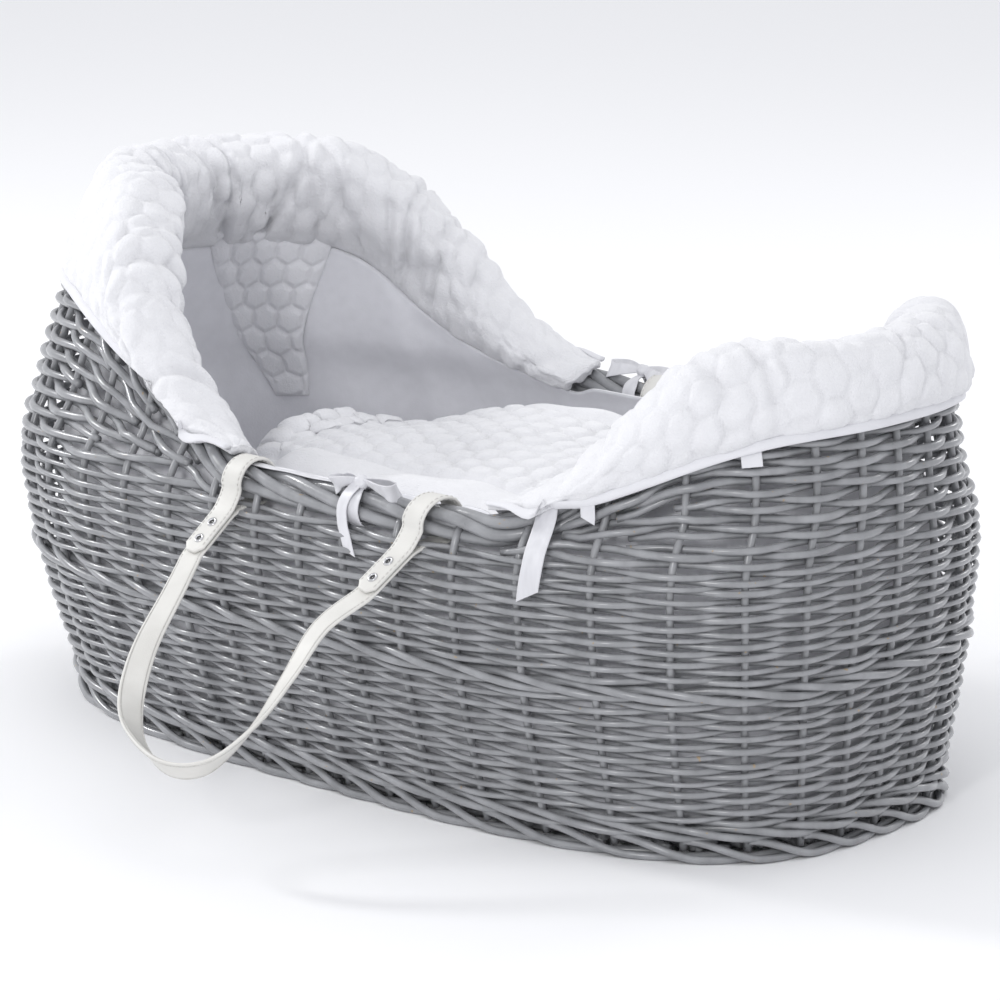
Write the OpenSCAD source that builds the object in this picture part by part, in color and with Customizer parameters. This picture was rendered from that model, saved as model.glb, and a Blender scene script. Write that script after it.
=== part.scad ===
// Pod-shaped wicker moses basket with a padded hood, foot roll, quilt and two carrying straps.
// +X runs from the head to the foot, +Z is up, and the origin is the middle of the floor.

/* [Basket] */
// Length of the floor
floor_l = 756; // [740:1:770]
// Width of the floor
floor_w = 382; // [374:1:390]
// Reach of the head end from the origin, where the basket is widest
head_reach = 429; // [422:1:434]
// Reach of the foot end from the origin, where the basket is widest
foot_reach = 397; // [392:1:402]
// Greatest width of the wicker
belly_w = 466; // [460:1:470]
// Height of the greatest width
belly_h = 195; // [190:1:200]
// Top of the bare rim between the straps
rim_h = 247; // [245:1:252]
// Top of the wicker at the head end
head_h = 414; // [405:1:420]
// Top of the wicker at the foot end
foot_h = 360; // [350:1:366]

/* [Weave] */
// Thickness of the woven wall
wall_t = 13; // [12:1:14]
// Number of upright stakes
stake_n = 42; // [42:42:42]
// Diameter of a stake
stake_d = 6; // [5:0.5:7]
// Diameter of the plaited rim border
border_d = 26; // [25:0.5:26]
// Height of the border round the floor
foot_border_h = 16; // [14:1:16]
// Bottom of the waled band half way up
wale_z = 122; // [118:1:124]
// Height of the waled band
wale_h = 14; // [12:1:16]

/* [Dressing] */
// Thickness of the fabric lining
liner_t = 4; // [3:0.5:4.5]
// How far the padded rolls stand out from the wicker
roll_pad = 11; // [8:1:12]
// Thickness of the mattress
mattress_t = 40; // [30:1:45]
// Length of the quilt
quilt_l = 470; // [440:1:476]
// Width of the quilt
quilt_w = 330; // [310:1:332]
// Top of the quilt
quilt_top = 238; // [228:1:240]
// Thickness of the quilt
quilt_t = 28; // [20:1:30]

/* [Straps] */
// Distance of the head strap loop from the origin
loop_head_x = -58; // [-60:1:-56]
// Distance of the foot strap loop from the origin
loop_foot_x = 131; // [129:1:132]
// How far the far strap sits nearer the foot than the near one
far_shift = 49; // [46:1:50]
// Width of a strap
strap_w = 20; // [18:1:21]
// Thickness of a strap
strap_t = 3; // [2.5:0.1:3.2]
// Reach of a strap from its hinge line
strap_reach = 249; // [230:1:252]
// Angle of a strap below the horizontal at rest
strap_rest = 40; // [36:1:40]

/* [Hidden] */

stations = 64;                       // rings of the wall round the whole basket
hood_from = 18;                      // station where the hood roll starts, far side
foot_to = 9;                         // station where the foot roll ends, far side
foot_from = -10;                     // station where the foot roll starts, near side
gap = 0.3;                           // clearance between pieces that only touch
side_reach = belly_w / 2;
border_r = border_d / 2;
border_inside = 11;                  // border's middle, measured in from the skin
weave_top = rim_h - border_d;        // top of the level weave, under the bare border
even = sqrt((head_reach + foot_reach) / belly_w);   // evens the spacing round the plan

// Height against reach, for the head end, the foot end and the sides, and against the
// exponent of the plan, which is squarer at the floor than at the rim
head_line = [[0, floor_l / 2 - 1], [110, head_reach - 21], [230, head_reach],
             [330, head_reach - 21], [430, head_reach - 77]];
foot_line = [[0, floor_l / 2 + 1], [110, foot_reach - 7], [230, foot_reach],
             [330, foot_reach - 9], [400, foot_reach - 45]];
side_line = [[0, floor_w / 2], [110, side_reach - 12], [belly_h, side_reach], [225, side_reach - 5],
             [255, side_reach - 24], [340, side_reach - 40], [430, side_reach - 93]];
plan_power = [[0, 3], [belly_h, 2.9], [430, 2.3]];

wicker_grey = [0.47, 0.48, 0.5];
fabric_white = [0.95, 0.95, 0.96];
strap_white = [0.91, 0.9, 0.86];
satin_white = [0.93, 0.93, 0.95];

// Curve through points [position, value], with the value a number or a vector
function slope(p, i) = let(a = max(i - 1, 0), b = min(i + 1, len(p) - 1))
    (p[b][1] - p[a][1]) / (p[b][0] - p[a][0]);
function piece_of(p, v, i = 0) = i >= len(p) - 2 || v < p[i + 1][0] ? i : piece_of(p, v, i + 1);
function along(p, v0) = let(
    v = min(max(v0, p[0][0]), p[len(p) - 1][0]),
    i = piece_of(p, v),
    h = p[i + 1][0] - p[i][0],
    u = (v - p[i][0]) / h)
    (2 * u ^ 3 - 3 * u ^ 2 + 1) * p[i][1] + (u ^ 3 - 2 * u ^ 2 + u) * h * slope(p, i)
    + (3 * u ^ 2 - 2 * u ^ 3) * p[i + 1][1] + (u ^ 3 - u ^ 2) * h * slope(p, i + 1);
function rise(v, from, to) = let(u = min(1, max(0, (v - from) / (to - from)))) u * u * (3 - 2 * u);
function unit(v) = v / norm(v);

// Point of the basket's outer skin at turn t (0 at the foot end, 0.25 at the far side),
// height z, and a distance inside the skin
function skin(t, z, inside = 0) = let(
    a = atan2(even * sin(360 * t), cos(360 * t)),
    n = along(plan_power, z),
    k = (abs(cos(a)) ^ n + abs(sin(a)) ^ n) ^ (1 / n),
    h = along(head_line, z) - inside,
    f = along(foot_line, z) - inside)
    [(f - h) / 2 + (f + h) / 2 * cos(a) / k, (along(side_line, z) - inside) * sin(a) / k, z];

// Turn on the far side at which the skin passes x, at the height of the bare rim or another
function turn_at(x, z = rim_h - border_r, lo = 0, hi = 0.5, left = 24) = let(mid = (lo + hi) / 2)
    left == 0 ? mid
    : skin(mid, z)[0] > x ? turn_at(x, z, mid, hi, left - 1)
    : turn_at(x, z, lo, mid, left - 1);

// Heights of the wicker's top, and of the outer lower edge of the fabric rolls
function plan_x(t) = skin(t, 300)[0];
function foot_rise_from(t) = t >= 0 && t < 0.5 ? 208 : 180;
function rim_z(t) = let(x = plan_x(t))
    rim_h + (head_h - rim_h) * rise(-x, 55, 350) + (foot_h - rim_h) * rise(x, foot_rise_from(t), 360);
function border_mid(t) = skin(t, rim_z(t) - border_r, border_inside);
// Point near the rim, measured straight up from the skin at the border's middle if it is higher
function over(t, z, inside) = let(p = skin(t, min(z, rim_z(t) - border_r), inside)) [p[0], p[1], z];
function hem_z(t) = let(x = plan_x(t))
    min(rim_z(t) - 8, x < 0 ? rim_h + 6 + 84 * rise(-x, 30, 370) : rim_h + 6 + 66 * rise(x, 190, 400));
function roll_end_z(t) = let(x = plan_x(t))
    rim_z(t) - 20 - (x < 0 ? 55 * rise(-x, 78, 260) : 40 * rise(x, 185, 330));

// Solids lofted through rings of points, joined end to end or capped. A paired ring goes along
// one side and back along the other, and its caps join the two
module loft(rings, closed = false, paired = false) {
    m = len(rings[0]);
    n = len(rings);
    last = closed ? n : n - 1;
    sides = [for (i = [0:last - 1], j = [0:m - 1]) let(a = i * m, b = ((i + 1) % n) * m, k = (j + 1) % m)
        each [[b + j, b + k, a + k], [b + j, a + k, a + j]]];
    top = (n - 1) * m;
    caps = closed ? []
        : paired ? [for (j = [0:m / 2 - 2]) let(k = m - 1 - j)
            each [[j, j + 1, k], [j + 1, k - 1, k],
                  [top + k, top + j + 1, top + j], [top + k, top + k - 1, top + j + 1]]]
        : [[for (j = [0:m - 1]) j], [for (j = [m - 1:-1:0]) top + j]];
    polyhedron(points = [for (r = rings) each r], faces = concat(sides, caps), convexity = 8);
}

// One cross-section of a wall between two heights, outer skin down and inner skin up
function wall_ring(t, low, high, steps, from = 0, to = wall_t) = concat(
    [for (i = [0:steps]) skin(t, high + (low - high) * i / steps, from)],
    [for (i = [0:steps]) skin(t, low + (high - low) * i / steps, to)]);

// Round bar swept round the plan: a ring of points across it, up, out, down and in
function bar_ring(t, z, inside, r, sides) =
    [for (j = [0:sides - 1]) let(a = 360 * (j + 0.5) / sides, p = skin(t, z, inside - r * sin(a)))
        [p[0], p[1], z + r * cos(a)]];

module woven_band(low, high, steps) {
    loft([for (i = [0:stations - 1]) wall_ring(i / stations, low, high, steps)], closed = true);
}

// Flat ribbon or strip that lies on the outside of the wicker, from turn to turn
module strip_on_wall(t0, t1, z0, z1, lift, thick, cut = 0) {
    steps = 5;
    loft([for (i = [0:steps]) let(u = i / steps, z = z0 + (z1 - z0) * u)
        [skin(t0, z + cut * u, -lift), skin(t0, z + cut * u, -lift - thick),
         skin(t1, z, -lift - thick), skin(t1, z, -lift)]]);
}

/* Wicker */

stick_d = 9;
stick_z = 9.5;

module base_sticks() {
    spacing = 62;
    color(wicker_grey) for (i = [-5:5]) {
        x = i * spacing;
        y = skin(turn_at(x + sign(i) * stick_d / 2, stick_z), stick_z, 14)[1];
        translate([x, -y, stick_z]) rotate([-90, 0, 0]) cylinder(d = stick_d, h = 2 * y, $fn = 24);
    }
}

// Plan of the skin at height z, as the points of a polygon
function outline(z, inside) = [for (i = [0:stations - 1])
    let(p = skin(i / stations, z, inside)) [p[0], p[1]]];

module base_weave() {
    low = 6.5;
    high = 12.5;
    color(wicker_grey) translate([0, 0, low]) linear_extrude(high - low)
        polygon(outline(stick_z, foot_border_h));
}

module foot_border() {
    h = foot_border_h;
    color(wicker_grey) linear_extrude(h - gap) difference() {
        polygon(outline(h / 2, -2.5));
        polygon(outline(h / 2, h - gap));
    }
}

function stake_at(t, inside = wall_t / 2) = [for (i = [0:7])
    let(low = foot_border_h / 2, high = rim_z(t) - border_r)
    skin(t, low + (high - low) * i / 7, inside)];

module bar_through(path, d, sides) {
    loft([for (p = path) [for (j = [0:sides - 1]) let(a = 360 * j / sides) p + d / 2 * [cos(a), sin(a), 0]]]);
}

module stakes() {
    color(wicker_grey) for (k = [0:stake_n - 1]) bar_through(stake_at(k / stake_n), stake_d, 6);
}

module lower_weave() {
    color(wicker_grey) woven_band(foot_border_h, wale_z, 3);
}

module middle_wale() {
    color(wicker_grey) woven_band(wale_z + gap, wale_z + wale_h - gap, 1);
}

// The weave dips under each strap loop, where the strap passes between the weave and the border
slot_depth = 10;
function slot_room(x, lean) = [x, strap_w / 2 + 2 + 34 * abs(lean)];
function slot_edges(room) = let(a = turn_at(room[0] + room[1]), b = turn_at(room[0] - room[1]))
    [[a - 0.001, weave_top], [a, weave_top - slot_depth],
     [b, weave_top - slot_depth], [b + 0.001, weave_top]];
function level_between(a, b) = [for (i = [0:stations / 2 - 1]) let(t = i / stations)
    if (t > a && t < b) [t, weave_top]];
function half_tops(side) = let(
    foot = slot_edges(slot_room(foot_loop(side)[0], lean_foot)),
    head = slot_edges(slot_room(head_loop(side)[0], lean_head)))
    concat([[0, weave_top]], level_between(0, foot[0][0]), foot, level_between(foot[3][0], head[0][0]), head,
        level_between(head[3][0], 0.5));

module upper_weave() {
    far = half_tops(1);
    near = [for (p = reversed(half_tops(-1))) if (p[0] > 0) [1 - p[0], p[1]]];
    color(wicker_grey) loft([for (p = concat(far, [[0.5, weave_top]], near))
        wall_ring(p[0], wale_z + wale_h, p[1], 3)], closed = true);
}

// Extra rows that fan out between the level weave and the rising rim
module packing(from, to) {
    color(wicker_grey) loft([for (i = [from:to]) let(t = i / stations)
        wall_ring(t, weave_top + gap, rim_z(t) - border_d + 2, 5)]);
}

module head_packing() {
    packing(hood_from + 1, stations - hood_from - 1);
}

module foot_packing() {
    packing(foot_from + 1, foot_to - 1);
}

module rim_border() {
    color(wicker_grey) loft([for (i = [0:stations - 1]) let(t = i / stations)
        bar_ring(t, rim_z(t) - border_r, border_inside, border_r, 10)], closed = true);
}

/* Dressing */

mattress_low = 14 + gap;

module mattress() {
    color(fabric_white) translate([0, 0, mattress_low]) linear_extrude(mattress_t)
        polygon(outline(mattress_low, 22));
}

function in_roll(i) = (i >= hood_from && i <= stations - hood_from)
    || i <= foot_to || i >= stations + foot_from;
function liner_top(i) = in_roll(i) ? roll_end_z(i / stations) - gap : rim_h - 6;
function liner_inside(z) = wall_t + 1.5 + 18.5 * rise(z, 120, 205);

module liner() {
    low = 18;
    steps = 4;
    color(fabric_white) loft([for (i = [0:stations - 1]) let(t = i / stations, high = liner_top(i)) concat(
        [for (j = [0:steps]) let(z = high + (low - high) * j / steps) skin(t, z, liner_inside(z))],
        [for (j = [0:steps]) let(z = low + (high - low) * j / steps) skin(t, z, liner_inside(z) + liner_t)])],
        closed = true);
}

// Padded roll that wraps over the rim, from its outer hem to its seam with the lining
function roll_ring(t, fill) = let(
    rz = rim_z(t), hem = hem_z(t), inner = roll_end_z(t), pad = roll_pad * fill, knee = max(hem + 2, rz - 12))
    [over(t, rz + 4 + pad * 0.9, border_r), over(t, rz + 2 + pad * 0.8, 0), over(t, rz, -pad * 0.7 - 4),
     over(t, (rz + hem) / 2, -pad * 0.8 - 4), over(t, hem + 2, -pad * 0.5 - 4), over(t, hem, -3),
     over(t, (hem + knee) / 2, -3), over(t, knee, -3), over(t, rz + 1.5, 3), over(t, rz + 1.5, border_d - 5),
     over(t, rz - 11, border_d + 2), over(t, inner, 35), over(t, inner, 40),
     over(t, (rz + inner) / 2, 41), over(t, rz - 4, 39), over(t, rz + 3 + pad * 0.6, 28)];

module roll(from, to) {
    color(fabric_white) loft([for (i = [from:to]) let(full = rise(min(i - from, to - i), 0, 5))
        roll_ring(i / stations, 0.35 + 0.65 * full)]);
}

module hood_roll() {
    roll(hood_from, stations - hood_from);
}

module foot_roll() {
    roll(foot_from, foot_to);
}

module binding(from, to) {
    tape = 7;
    color(satin_white) loft([for (i = [from:to]) let(t = i / stations, hem = hem_z(t) - gap)
        [over(t, hem, -3), over(t, hem, -8), over(t, hem - tape, -7), over(t, hem - tape, -3)]]);
}

module hood_binding() {
    binding(hood_from, stations - hood_from);
}

module foot_binding() {
    binding(foot_from, foot_to);
}

// Quilt that arches over the mattress, with its sides turned down on to it
quilt_x = 20;
quilt_low = mattress_low + mattress_t + gap;

function quilt_half(x) = quilt_w / 2 * (1 - abs((x - quilt_x) / (quilt_l / 2 + 6)) ^ 3) ^ (1 / 3);
function arch(x, inside) = let(
    w = quilt_half(x) - inside, top = quilt_top - inside, low = quilt_low, corner = 55 - inside)
    concat([[-w, low], [-w, (low + top) / 2]],
        [for (a = [180:-30:90]) [-w + corner + corner * cos(a), top - corner + corner * sin(a)]],
        [for (a = [90:-30:0]) [w - corner + corner * cos(a), top - corner + corner * sin(a)]],
        [[w, (low + top) / 2], [w, low]]);

module quilt() {
    steps = 14;
    color(fabric_white) loft([for (i = [0:steps]) let(
            x = quilt_x - quilt_l / 2 * cos(180 * i / steps),
            outer = arch(x, 0),
            inner = arch(x, quilt_t),
            n = len(outer))
        concat([for (j = [0:n - 1]) [x, -outer[j][0], outer[j][1]]],
            [for (j = [n - 1:-1:0]) [x, -inner[j][0], inner[j][1]]])], paired = true);
}

/* Ribbons */

near_bow_x = 65;
far_bow_x = -34;

// Ribbon knotted round the border, open where a stake may stand: a band, a knot and one loop
module bow(side, x) {
    mid = border_mid(turn_at(x));
    band_r = border_r + 3;
    color(satin_white) translate([mid[0], side * mid[1], mid[2]]) {
        difference() {
            rotate([0, 90, 0]) cylinder(r = band_r, h = 12, center = true, $fn = 48);
            rotate([0, 90, 0]) cylinder(r = band_r - 0.8, h = 14, center = true, $fn = 48);
            translate([-7, side > 0 ? 2 : -18, -2 * band_r]) cube([14, 16, 1.75 * band_r]);
        }
        translate([0, side * 3, band_r + 0.6]) scale([1.3, 1, 0.9]) sphere(r = 4.4, $fn = 24);
        translate([-side * 19, side * 3, band_r + 2.4]) scale([2.6, 0.9, 0.75]) sphere(r = 7, $fn = 24);
    }
}

module bow_near() {
    bow(-1, near_bow_x);
}

module bow_far() {
    bow(1, far_bow_x);
}

module ribbon_tail() {
    t = 1 - turn_at(232);
    half = 0.0047;
    color(satin_white) strip_on_wall(t - half, t + half, 241, 184, 3, 1.2, cut = 12);
}

module ribbon_wrap() {
    t = 1 - turn_at(262);
    color(satin_white) strip_on_wall(t, t + 0.006, 254, 238, 3, 1.2);
}

module blank_tag() {
    t = 1 - turn_at(358);
    half = 0.0055;
    z = hem_z(t) - 8;
    color(satin_white) strip_on_wall(t - half, t + half, z, z - 12, 1.5, 1);
}

/* Straps */

// Each strap turns about the line through its two loops, which go round the border
function mirrored(p, side) = [p[0], side * p[1], p[2]];
function loop_mid(side, x) = mirrored(border_mid(turn_at(x + (side > 0 ? far_shift : 0))), side);
function head_loop(side) = loop_mid(side, loop_head_x);
function foot_loop(side) = loop_mid(side, loop_foot_x);
function span(side) = norm(foot_loop(side) - head_loop(side));
loop_r = border_r + 3.6 + strap_t / 2;
layer = strap_t / 2 + 0.2;           // half the distance between the strap and its tab
tab_l = 72;
rivet_at = [44, 60];
lean_head = -0.1;                    // sideways lean of each tab as it leaves the border
lean_foot = -0.25;

// Frame of a strap on one side: along its hinge line, out from it, and across both
function hinge_u(side) = unit(foot_loop(side) - head_loop(side));
function level_out(side) = unit([side * -hinge_u(side)[1], side * hinge_u(side)[0], 0]);
function level_up(side) = side * cross(hinge_u(side), level_out(side));
function out_w(side) = cos(strap_rest) * level_out(side) - sin(strap_rest) * level_up(side);
function up_n(side) = sin(strap_rest) * level_out(side) + cos(strap_rest) * level_up(side);
function strap_point(side, p) = head_loop(side)
    + p[0] * hinge_u(side) + p[1] * out_w(side) + p[2] * up_n(side);

// A loop's route, from the tip of its tab, round the border and out under the tab
function loop_route(lean, start) = [for (p = concat(
    [for (w = [tab_l, 58, 46, 34]) [w, layer]],
    [[28, layer + 1]],
    [for (a = [25:31:335]) loop_r * [cos(a), sin(a)]],
    [[28, -layer - 1]],
    [for (w = [34, 46, 58]) [w, -layer]])) [start + lean * p[0], p[0], p[1]]];

// The bow of the strap between its loops, as [position, [along, out, across]]
function arm(side) = [
       [0, [lean_head * tab_l, tab_l, -layer]], [1, [1, 108, 0]], [2, [10, 160, 0]], [3, [30, 205, 0]],
       [4, [58, 233, 0]], [5, [100, strap_reach, 0]], [6, [134, 238, 0]], [7, [150, 198, 0]],
       [8, [151, 152, 0]], [9, [150, 108, 0]], [10, [span(side) + lean_foot * tab_l, tab_l, -layer]]];
arm_steps = 4;
loop_points = len(loop_route(0, 0));
arm_points = 10 * arm_steps + 1;

function reversed(v) = [for (i = [len(v) - 1:-1:0]) v[i]];
function strap_route(side) = concat(loop_route(lean_head, 0),
    [for (i = [0:arm_points - 1]) along(arm(side), i / arm_steps)],
    reversed(loop_route(lean_foot, span(side))));

// The strap lies flat at its loops and turns a half turn along its bow
function twist_at(i) = 180 * rise(i, loop_points, loop_points + arm_points);

module strap(side) {
    route = [for (p = strap_route(side)) strap_point(side, p)];
    n = len(route);
    color(strap_white) loft([for (i = [0:n - 1]) let(
            go = unit(route[min(i + 1, n - 1)] - route[max(i - 1, 0)]),
            b = twist_at(i),
            flat = cos(b) * hinge_u(side) - sin(b) * up_n(side),
            wide = unit(flat - (flat * go) * go),
            face = side * cross(go, wide),
            w = wide * strap_w / 2,
            f = face * strap_t / 2)
        side < 0 ? [route[i] + f + w, route[i] - f + w, route[i] - f - w, route[i] + f - w]
                 : [route[i] + f - w, route[i] - f - w, route[i] - f + w, route[i] + f + w]]);
}

// Rivets through both layers of each tab
module rivets(side) {
    head_r = 4.2;
    head_t = 0.9;
    stack = layer + strap_t / 2;
    for (end = [[lean_head, 0], [lean_foot, span(side)]], w = rivet_at) {
        mid = strap_point(side, [end[1] + end[0] * w, w, 0]);
        n = up_n(side);
        color([0.75, 0.75, 0.77]) translate(mid) rotate([side * -atan2(-side * n[1], n[2]) * side, 0, 0]) {
            cylinder(r = 2.2, h = 2 * stack, center = true, $fn = 32);
            translate([0, 0, stack]) cylinder(r = head_r, h = head_t, $fn = 32);
            translate([0, 0, -stack - head_t]) cylinder(r = head_r, h = head_t, $fn = 32);
        }
    }
}

module strap_near() {
    strap(-1);
}

module strap_far() {
    strap(1);
}

module strap_near_rivets() {
    rivets(-1);
}

module strap_far_rivets() {
    rivets(1);
}

base_sticks();
base_weave();
foot_border();
stakes();
lower_weave();
middle_wale();
upper_weave();
head_packing();
foot_packing();
rim_border();
mattress();
liner();
hood_roll();
hood_binding();
foot_roll();
foot_binding();
quilt();
bow_near();
bow_far();
ribbon_tail();
ribbon_wrap();
blank_tag();
strap_near();
strap_near_rivets();
strap_far();
strap_far_rivets();
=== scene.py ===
"""Looks of the pod-shaped wicker moses basket: painted willow, plush dressing, ribbons and straps."""

import math

import bpy
import numpy as np
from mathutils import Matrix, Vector


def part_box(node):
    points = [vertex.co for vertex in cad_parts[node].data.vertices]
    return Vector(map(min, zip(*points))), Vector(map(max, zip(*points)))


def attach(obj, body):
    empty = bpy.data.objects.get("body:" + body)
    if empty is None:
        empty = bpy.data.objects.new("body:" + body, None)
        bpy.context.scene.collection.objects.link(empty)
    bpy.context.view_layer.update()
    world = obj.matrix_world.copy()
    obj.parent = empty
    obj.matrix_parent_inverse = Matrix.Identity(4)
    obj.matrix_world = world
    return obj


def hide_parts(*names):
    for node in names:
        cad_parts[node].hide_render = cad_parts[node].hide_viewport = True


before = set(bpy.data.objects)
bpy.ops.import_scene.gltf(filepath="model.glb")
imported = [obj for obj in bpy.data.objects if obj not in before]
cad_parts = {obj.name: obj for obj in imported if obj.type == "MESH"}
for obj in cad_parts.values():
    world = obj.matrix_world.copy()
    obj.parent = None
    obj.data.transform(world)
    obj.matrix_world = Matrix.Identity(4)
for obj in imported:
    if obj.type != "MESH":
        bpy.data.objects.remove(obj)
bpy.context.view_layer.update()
rng = np.random.default_rng(11)

# ---------------------------------------------------------------- sizes, in metres

border_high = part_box("rim_border")[1]
weave_low, weave_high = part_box("upper_weave")
wale_low, wale_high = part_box("middle_wale")

head_reach = -weave_low.x
foot_reach = weave_high.x
side_reach = weave_high.y
head_h = border_high.z
rim_h = weave_high.z + 0.026
foot_h = 0.360
floor_l = 0.756
floor_w = 0.382
belly_h = 0.195
wall_t = 0.013
stake_n = 42
stake_d = 0.006
border_r = (rim_h - weave_high.z) / 2
border_inside = 0.011
even = math.sqrt((head_reach + foot_reach) / (2 * side_reach))
hood_from = 18 / 64
foot_from = -10 / 64
foot_to = 9 / 64
dimple = 0.0245
strap_w = 0.020
strap_t = 0.003
layer = strap_t / 2 + 0.0002
tab_l = 0.072
rivet_at = (0.044, 0.060)
lean_head = -0.1
lean_foot = -0.25
loop_r = border_r + 0.0036 + strap_t / 2
loop_head_x = -0.058
loop_foot_x = 0.131
far_shift = 0.049
strap_reach = 0.249
strap_rest = math.radians(40)
near_bow_x = 0.065
far_bow_x = -0.034

head_line = [(0, floor_l / 2 - 0.001), (0.110, head_reach - 0.021), (0.230, head_reach),
             (0.330, head_reach - 0.021), (0.430, head_reach - 0.077)]
foot_line = [(0, floor_l / 2 + 0.001), (0.110, foot_reach - 0.007), (0.230, foot_reach),
             (0.330, foot_reach - 0.009), (0.400, foot_reach - 0.045)]
side_line = [(0, floor_w / 2), (0.110, side_reach - 0.012), (belly_h, side_reach),
             (0.225, side_reach - 0.005), (0.255, side_reach - 0.024), (0.340, side_reach - 0.040),
             (0.430, side_reach - 0.093)]
plan_power = [(0, 3), (belly_h, 2.9), (0.430, 2.3)]


# ---------------------------------------------------------------- the basket's shape

def along(points, value):
    """Smooth curve through (position, value) points, held level past both ends."""
    x = np.array([p[0] for p in points], float)
    y = np.array([p[1] for p in points], float)
    last = len(x) - 1
    lower = np.maximum(np.arange(last + 1) - 1, 0)
    upper = np.minimum(np.arange(last + 1) + 1, last)
    slopes = (y[upper] - y[lower]) / (x[upper] - x[lower])
    v = np.clip(value, x[0], x[-1])
    i = np.clip(np.searchsorted(x, v, side="right") - 1, 0, last - 1)
    h = x[i + 1] - x[i]
    u = (v - x[i]) / h
    start = (2 * u ** 3 - 3 * u ** 2 + 1) * y[i] + (u ** 3 - 2 * u ** 2 + u) * h * slopes[i]
    end = (3 * u ** 2 - 2 * u ** 3) * y[i + 1] + (u ** 3 - u ** 2) * h * slopes[i + 1]
    return start + end


def rise(value, start, end):
    """0 before start, 1 after end, and smooth between."""
    u = np.clip((value - start) / (end - start), 0, 1)
    return u * u * (3 - 2 * u)


def skin(t, z, inside=0.0):
    """Point of the wicker's outer skin at turn t (0 foot, 0.25 far side, 0.5 head) and height z."""
    t, z, inside = np.broadcast_arrays(np.asarray(t, float), np.asarray(z, float), np.asarray(inside, float))
    a = np.arctan2(even * np.sin(2 * np.pi * t), np.cos(2 * np.pi * t))
    n = along(plan_power, z)
    k = (np.abs(np.cos(a)) ** n + np.abs(np.sin(a)) ** n) ** (1 / n)
    h = along(head_line, z) - inside
    f = along(foot_line, z) - inside
    x = (f - h) / 2 + (f + h) / 2 * np.cos(a) / k
    y = (along(side_line, z) - inside) * np.sin(a) / k
    return np.stack([x, y, z], -1)


def plan_x(t):
    return skin(t, 0.300)[..., 0]


def rim_z(t):
    """Height of the wicker's top."""
    x = plan_x(t)
    foot_from_x = np.where(np.asarray(t) % 1 < 0.5, 0.208, 0.180)
    return rim_h + (head_h - rim_h) * rise(-x, 0.055, 0.350) + (foot_h - rim_h) * rise(x, foot_from_x, 0.360)


def border_mid(t):
    """Middle of the rim border."""
    return skin(t, rim_z(t) - border_r, border_inside)


def over(t, z, inside):
    """Point near the rim, measured straight up from the skin at the border's middle if it is higher."""
    p = skin(t, np.minimum(z, rim_z(t) - border_r), inside)
    p[..., 2] = z
    return p


def hem_z(t):
    """Height of the outer lower edge of the padded rolls."""
    x = plan_x(t)
    head = rim_h + 0.012 + 0.082 * rise(-x, 0.020, 0.360)
    foot = rim_h + 0.006 + 0.066 * rise(x, 0.190, 0.400)
    return np.minimum(rim_z(t) - 0.005, np.where(x < 0, head, foot))


def seam_z(t):
    """Height at which the padded rolls meet the lining."""
    x = plan_x(t)
    return rim_z(t) - 0.020 - np.where(x < 0, 0.055 * rise(-x, 0.078, 0.260), 0.040 * rise(x, 0.185, 0.330))


def turn_at(x, side=1):
    """Turn at which the rim passes x, on the far side (1) or the near side (-1)."""
    turns = np.linspace(0, 0.5, 2001)
    t = np.interp(-x, -skin(turns, rim_h - border_r)[:, 0], turns)
    return t if side > 0 else 1 - t


# ---------------------------------------------------------------- mesh work

def add_piece(name, points, faces, material, slot, body="root", stands_for=()):
    """A smooth-shaded mesh that rides on a body and stands for some CAD nodes."""
    mesh = bpy.data.meshes.new(name)
    mesh.from_pydata(np.asarray(points, float).reshape(-1, 3).tolist(), [], [tuple(f) for f in faces])
    mesh.polygons.foreach_set("use_smooth", [True] * len(mesh.polygons))
    mesh.materials.append(material)
    mesh.update()
    piece = bpy.data.objects.new(name, mesh)
    bpy.context.scene.collection.objects.link(piece)
    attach(piece, body)
    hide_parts(*stands_for)
    return piece


def grid_faces(rows, cols, wrap_rows=False, wrap_cols=False, first=0):
    """Quads of a grid of points, joined round either way if it wraps."""
    i = np.arange(rows if wrap_rows else rows - 1)[:, None]
    j = np.arange(cols if wrap_cols else cols - 1)[None, :]
    below = ((i + 1) % rows) * cols
    right = (j + 1) % cols
    quads = np.stack([i * cols + j, i * cols + right, below + right, below + j], -1)
    return (quads.reshape(-1, 4) + first).tolist()


def unit(v):
    return v / np.maximum(np.linalg.norm(v, axis=-1, keepdims=True), 1e-9)


def rod_mesh(path, radius, sides=8, closed=False, up=(0, 0, 1), first=0):
    """Round rod along a path of points, with a radius at each."""
    path = np.asarray(path, float)
    count = len(path)
    if closed:
        go = unit(np.roll(path, -1, 0) - np.roll(path, 1, 0))
    else:
        go = unit(np.gradient(path, axis=0))
    side = unit(np.cross(go, np.array(up, float)))
    over = np.cross(side, go)
    a = 2 * np.pi * np.arange(sides) / sides
    ring = side[:, None] * np.cos(a)[:, None] + over[:, None] * np.sin(a)[:, None]
    points = path[:, None] + ring * np.broadcast_to(radius, count)[:, None, None]
    faces = grid_faces(count, sides, wrap_rows=closed, wrap_cols=True, first=first)
    if not closed:
        faces.append([first + j for j in range(sides)][::-1])
        faces.append([first + (count - 1) * sides + j for j in range(sides)])
    return points.reshape(-1, 3), faces


class Bundle:
    """Many rods gathered into one piece."""

    def __init__(self):
        self.points = []
        self.faces = []
        self.count = 0

    def rod(self, path, radius, **options):
        points, faces = rod_mesh(path, radius, first=self.count, **options)
        self.points.append(points)
        self.faces += faces
        self.count += len(points)

    def piece(self, name, material, slot, **options):
        return add_piece(name, np.concatenate(self.points), self.faces, material, slot, **options)


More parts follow.
